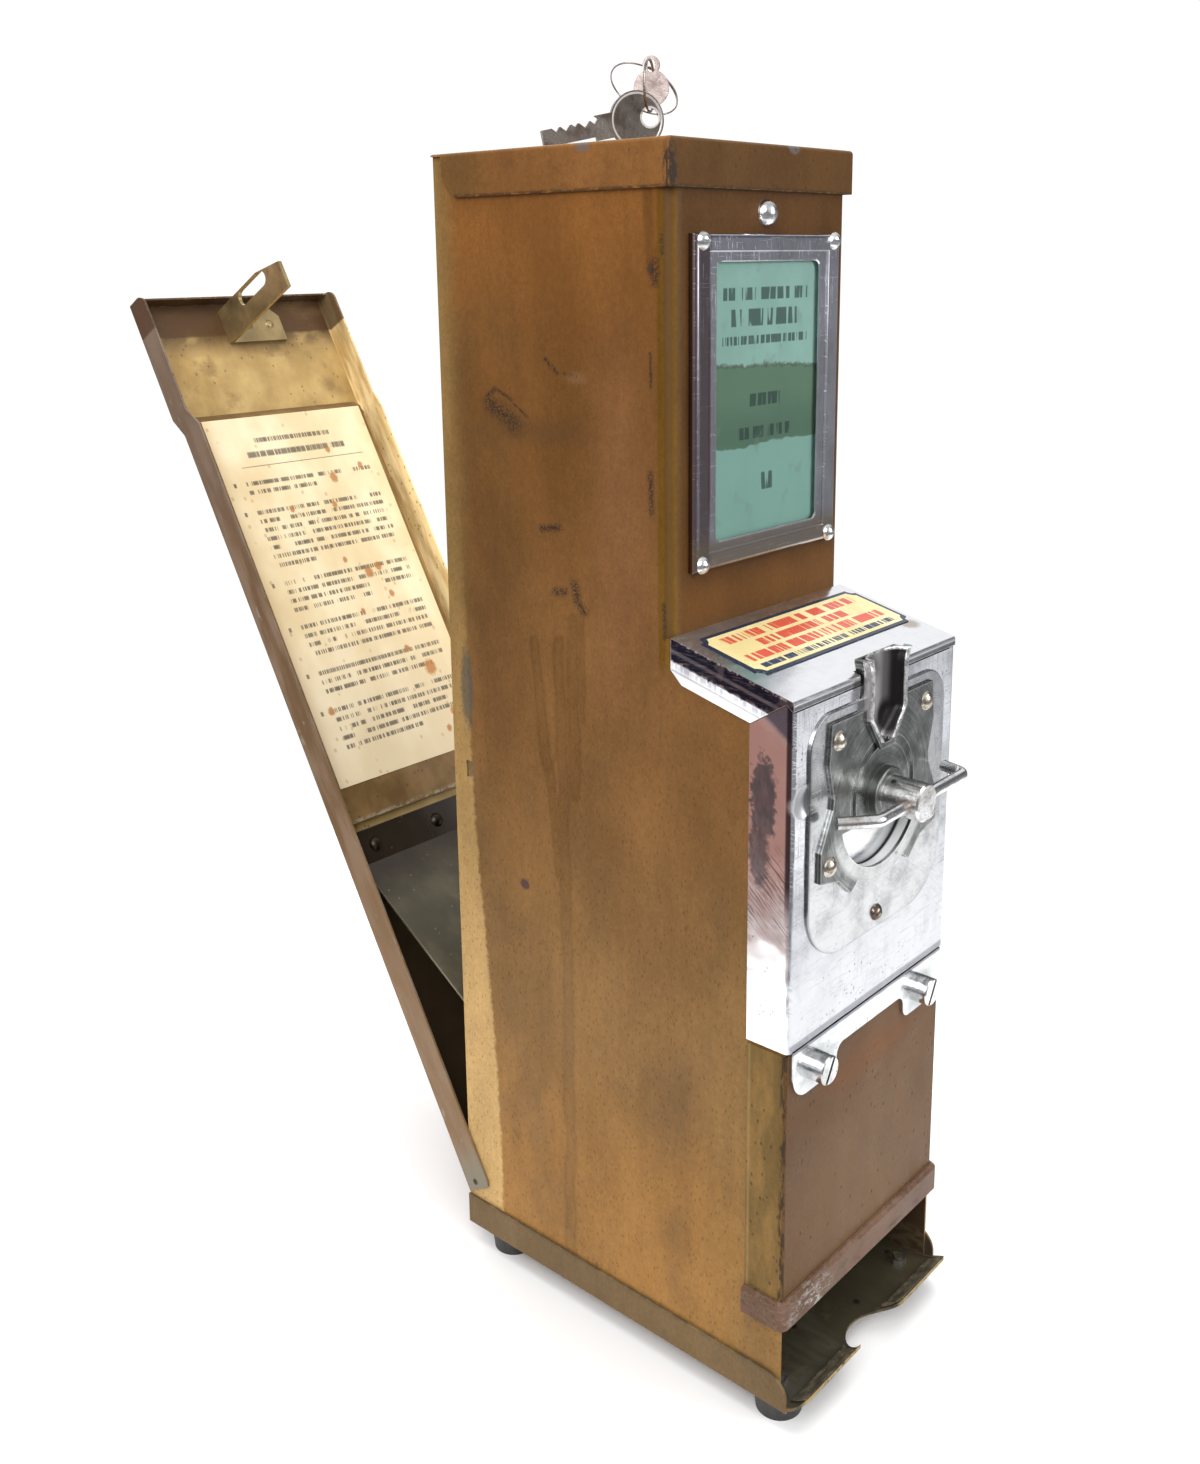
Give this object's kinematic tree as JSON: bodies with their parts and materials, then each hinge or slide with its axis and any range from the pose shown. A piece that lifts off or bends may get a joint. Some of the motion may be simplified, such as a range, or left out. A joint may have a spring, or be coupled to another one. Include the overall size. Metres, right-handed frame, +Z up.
{
  "type": "stamp vending machine",
  "caption": "Counter-top coin machine that vends folders: tall sheet-metal housing, hinged rear door, turn-handle coin mechanism and a delivery tray at the foot.",
  "frame": {"origin": "middle of the floor area of the whole object with its door open, on the surface it stands on", "axes": "+Z up, -Y towards the customer's side, +X to the customer's right"},
  "size_m": [0.1208, 0.4294, 0.5274],
  "materials": {
    "body_lacquer": "aged translucent bronze lacquer over steel",
    "front_lacquer": "rosy brown lacquer, satin",
    "door_lacquer": "thin gold-brown lacquer, stained inside",
    "band_lacquer": "dull brown lacquer, scuffed",
    "chromed_sheet": "polished chrome with fine scratches",
    "nickel_casting": "dull nickel plate with patina",
    "polished_steel": "polished steel",
    "yellow_plate": "yellow enamel with a dark blue border",
    "price_card": "printed card, mint green with a dark green band",
    "clear_glass": "clear glass",
    "printed_paper": "yellowed paper with rust stains",
    "liner_steel": "dull plated steel",
    "plated_steel": "zinc-plated sheet steel",
    "plated_fasteners": "nickel-plated steel",
    "pinion_brass": "machined brass",
    "lock_chrome": "chromed brass",
    "weight_iron": "bare cast iron",
    "black_rubber": "black rubber, matt",
    "key_steel": "worn plated steel"
  },
  "bodies": {
    "housing": {"housing_shell": "body_lacquer", "top_cap": "body_lacquer", "base_pan": "body_lacquer", "front_panel": "front_lacquer", "delivery_band": "band_lacquer", "mechanism_cover": "chromed_sheet", "hood": "chromed_sheet", "coin_plate": "nickel_casting", "coin_head": "nickel_casting", "window_frame": "nickel_casting", "fixing_strap": "nickel_casting", "shaft_collar": "polished_steel", "instruction_plate": "yellow_plate", "price_card": "price_card", "window_glass": "clear_glass", "delivery_ramp": "plated_steel", "cash_box_shelf": "plated_steel", "cash_box": "plated_steel", "cash_box_lid": "plated_steel", "coin_hopper": "plated_steel", "mechanism_frame": "plated_steel", "bearing_plate": "plated_steel", "ejector_bed": "plated_steel", "folder_chute": "plated_steel", "chute_bracket": "plated_steel", "fixing_screws": "plated_fasteners", "plate_rivets": "plated_fasteners", "rivet_spacers": "plated_fasteners", "window_screws": "plated_fasteners", "bracket_bolt": "plated_fasteners", "bracket_nut": "plated_fasteners", "foot_screws": "plated_fasteners", "foot_nuts": "plated_fasteners", "shelf_rivets": "plated_fasteners", "guide_rod": "plated_fasteners", "lock_nut": "plated_fasteners", "lock_body": "lock_chrome", "rubber_feet": "black_rubber", "round_key": "key_steel", "key_ring": "key_steel", "key_tag": "key_steel"},
    "door": {"door_panel": "door_lacquer", "door_liner": "liner_steel", "instruction_sheet": "printed_paper", "deflector_plate": "plated_steel", "deflector_screws": "plated_fasteners", "hasp_bracket": "plated_steel", "hasp_rivets": "plated_fasteners", "hinge_rod": "plated_fasteners"},
    "crank": {"handle_shaft": "polished_steel", "handle_rod": "polished_steel", "coin_disc": "polished_steel", "drive_pinion": "pinion_brass", "shaft_clip": "plated_fasteners"},
    "rack": {"rack_slide": "plated_steel"},
    "ejector": {"ejector": "plated_steel"},
    "follower": {"follower_weight": "weight_iron"},
    "lock": {"lock_plug": "pinion_brass", "lock_cam": "plated_steel", "cam_screw": "plated_fasteners"}
  },
  "joints": [
    {"name": "door_hinge", "type": "hinge", "parent": "housing", "child": "door", "pos_m": [0, -0.02092, 0.0323], "axis": [1, 0, 0], "range_deg": [0, 29.5]},
    {"name": "handle_turn", "type": "hinge", "parent": "housing", "child": "crank", "pos_m": [0, -0.19592, 0.2503], "axis": [0, 1, 0], "range_deg": [0, 90]},
    {"name": "rack_travel", "type": "slide", "parent": "housing", "child": "rack", "axis": [-1, 0, 0], "range_m": [0, 0.0236]},
    {"name": "ejector_stroke", "type": "slide", "parent": "housing", "child": "ejector", "axis": [0, 1, 0], "range_m": [0, 0.03]},
    {"name": "follower_lift", "type": "slide", "parent": "housing", "child": "follower", "axis": [0, 0, 1], "range_m": [0, 0.2]},
    {"name": "lock_turn", "type": "hinge", "parent": "housing", "child": "lock", "pos_m": [0.008, -0.04692, 0.4895], "axis": [0, 0, -1], "range_deg": [0, 90]}
  ],
  "couplings": [
    {"joint": "rack_travel", "follows": "handle_turn", "m_per_rad": 0.015},
    {"joint": "ejector_stroke", "follows": "handle_turn", "m_per_rad": 0.019098}
  ]
}
